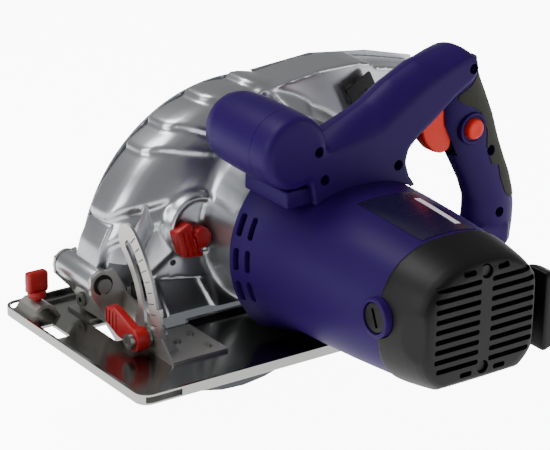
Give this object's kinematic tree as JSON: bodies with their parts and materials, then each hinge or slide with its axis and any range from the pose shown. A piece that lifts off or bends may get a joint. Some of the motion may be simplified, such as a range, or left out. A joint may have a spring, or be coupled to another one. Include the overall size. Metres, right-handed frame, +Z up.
{
  "type": "hand-held circular saw",
  "caption": "Hand-held circular saw with a sheet-steel shoe, cast upper guard, swinging lower guard, side motor, loop handle, and tilt, depth and guard joints.",
  "frame": {"origin": "centre of the sole rectangle, on its underside", "axes": "+X is the cutting direction, +Y points from the blade to the motor, +Z is up"},
  "size_m": [0.336, 0.297, 0.2624],
  "materials": {
    "purple_abs": "moulded satin",
    "black_abs": "moulded fine grain",
    "orange_abs": "moulded",
    "red_paint": "powder coat",
    "red_plastic": "moulded",
    "silver_casting": "silver painted die casting",
    "silver_sheet": "silver enamel",
    "plated_steel": "zinc plated",
    "dark_steel": "black oxide",
    "blade_steel": "ground",
    "ground_steel": "ground and hardened",
    "cast_zinc": "pressure cast",
    "laminations": "stacked sheet",
    "copper": "enamelled wire and copper bars",
    "carbon": "pressed graphite",
    "brass": "drawn",
    "fan_nylon": "moulded nylon",
    "rubber": "moulded",
    "label_foil": "printed foil, blank"
  },
  "bodies": {
    "shoe": {"shoe_plate": "plated_steel", "quadrant_plate": "silver_sheet", "front_pivot_lug": "plated_steel", "rear_pivot_lug": "plated_steel", "guide_bridge": "silver_sheet", "shoe_rivets": "plated_steel", "bevel_pins": "plated_steel"},
    "guide_knob": {"guide_screw": "red_plastic"},
    "tilt_frame": {"tilt_bracket": "silver_sheet", "depth_arc": "silver_sheet", "hinge_pin": "plated_steel", "e_clips": "dark_steel", "bumper_post": "plated_steel", "rubber_bumper": "rubber", "bevel_bolt": "plated_steel", "bevel_washer": "plated_steel", "lever_nut": "plated_steel"},
    "bevel_clamp": {"bevel_lever": "red_paint"},
    "saw_body": {"upper_guard": "silver_casting", "guard_cover": "silver_casting", "cover_screws": "plated_steel", "guard_spring": "ground_steel", "bearing_plate": "cast_zinc", "ball_bearings": "ground_steel", "motor_housing": "purple_abs", "end_cap": "black_abs", "stator": "laminations", "field_coils": "copper", "brush_holders": "brass", "carbon_brushes": "carbon", "brush_caps": "black_abs", "cap_screws": "dark_steel", "housing_screws": "dark_steel", "rating_plate": "label_foil", "handle_left": "purple_abs", "handle_right": "purple_abs", "handle_screws": "dark_steel", "trigger_pin": "plated_steel", "switch_block": "black_abs", "depth_bolt": "plated_steel", "lock_pin": "ground_steel"},
    "drive": {"spindle": "ground_steel", "inner_flange": "dark_steel", "outer_flange": "dark_steel", "reducer_ring": "ground_steel", "blade_bolt": "dark_steel", "saw_blade": "blade_steel", "output_gear": "ground_steel"},
    "armature": {"armature_shaft": "ground_steel", "drive_pinion": "ground_steel", "cooling_fan": "fan_nylon", "armature_core": "laminations", "commutator": "copper"},
    "blade_guard": {"lower_guard": "dark_steel", "guard_lever": "black_abs"},
    "switch_trigger": {"trigger": "orange_abs"},
    "safety_button": {"lock_off_button": "orange_abs"},
    "spindle_lock": {"lock_lever": "red_plastic"},
    "depth_clamp": {"depth_lever": "red_paint"}
  },
  "joints": [
    {"name": "bevel_tilt", "type": "hinge", "parent": "shoe", "child": "tilt_frame", "pos_m": [0, -0.055, 0.012], "axis": [1, 0, 0], "range_deg": [0, 45]},
    {"name": "depth_swing", "type": "hinge", "parent": "tilt_frame", "child": "saw_body", "pos_m": [0.13, -0.04, 0.036], "axis": [0, 1, 0], "range_deg": [0, 28]},
    {"name": "guide_clamp_turn", "type": "hinge", "parent": "shoe", "child": "guide_knob", "pos_m": [0.151, -0.07, 0.02], "axis": [0, 0, 1], "range_deg": [-180, 180]},
    {"name": "bevel_clamp_turn", "type": "hinge", "parent": "tilt_frame", "child": "bevel_clamp", "pos_m": [0.128, 0.02, 0.012], "axis": [1, 0, 0], "range_deg": [-70, 0]},
    {"name": "blade_spin", "type": "hinge", "parent": "saw_body", "child": "drive", "pos_m": [0.009, -0.043, 0.034], "axis": [0, 1, 0], "continuous": true},
    {"name": "motor_spin", "type": "hinge", "parent": "saw_body", "child": "armature", "pos_m": [0, 0.1, 0.066], "axis": [0, 1, 0], "continuous": true},
    {"name": "guard_swing", "type": "hinge", "parent": "saw_body", "child": "blade_guard", "pos_m": [0.009, -0.043, 0.034], "axis": [0, 1, 0], "range_deg": [0, 100], "stiffness_Nm_per_rad": 0.6, "springref_deg": -45.84},
    {"name": "trigger_pull", "type": "hinge", "parent": "saw_body", "child": "switch_trigger", "pos_m": [-0.064, 0.066, 0.15], "axis": [0, 1, 0], "range_deg": [0, 8], "stiffness_Nm_per_rad": 0.5, "springref_deg": -11.46},
    {"name": "button_press", "type": "slide", "parent": "saw_body", "child": "safety_button", "axis": [0, -1, 0], "range_m": [0, 0.004], "stiffness_N_per_m": 300, "springref_m": -0.004},
    {"name": "spindle_lock_turn", "type": "hinge", "parent": "saw_body", "child": "spindle_lock", "pos_m": [0.071, -0.002, 0.066], "axis": [0, 1, 0], "range_deg": [-35, 0]},
    {"name": "depth_clamp_turn", "type": "hinge", "parent": "saw_body", "child": "depth_clamp", "pos_m": [-0.09769, -0.01, 0.02407], "axis": [0, 1, 0], "range_deg": [0, 60]}
  ],
  "couplings": [
    {"joint": "motor_spin", "follows": "blade_spin", "ratio": -4.7778}
  ]
}
